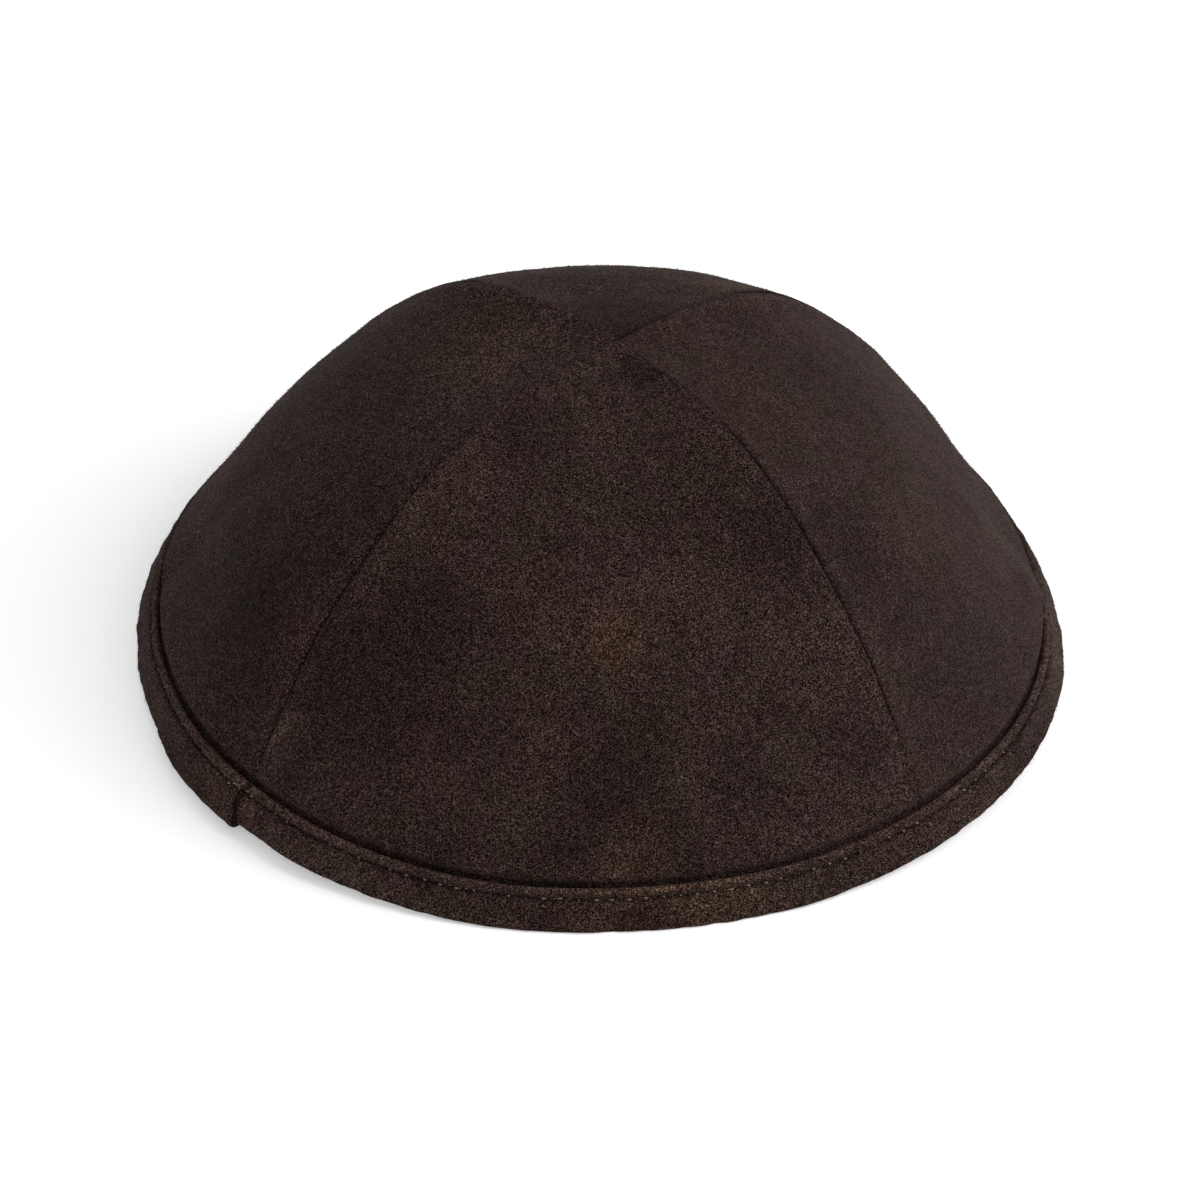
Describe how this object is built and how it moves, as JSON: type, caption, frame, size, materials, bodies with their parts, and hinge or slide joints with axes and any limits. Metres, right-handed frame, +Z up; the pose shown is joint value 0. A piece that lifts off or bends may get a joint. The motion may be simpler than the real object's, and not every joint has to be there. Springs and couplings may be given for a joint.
{
  "type": "kippah skullcap",
  "caption": "Soft round skullcap in dark brown suede, sewn from wedge-shaped panels that meet at the top, with a folded binding round its lower edge.",
  "frame": {"origin": "on the surface that the cap stands on, below the middle of its outline", "axes": "+Z up through the crown, -Y towards the front panel, +X towards the right panel"},
  "size_m": [0.178, 0.1744, 0.068],
  "materials": {
    "suede_crown": "dark brown suede with a short matt nap, mottled where it has been stroked",
    "suede_binding": "dark brown suede strip, matt, slightly redder than the crown",
    "thread": "dark brown sewing thread, satin"
  },
  "bodies": {
    "root": {"front_panel": "suede_crown", "right_panel": "suede_crown", "back_panel": "suede_crown", "left_panel": "suede_crown", "rim_band": "suede_binding"}
  },
  "joints": []
}
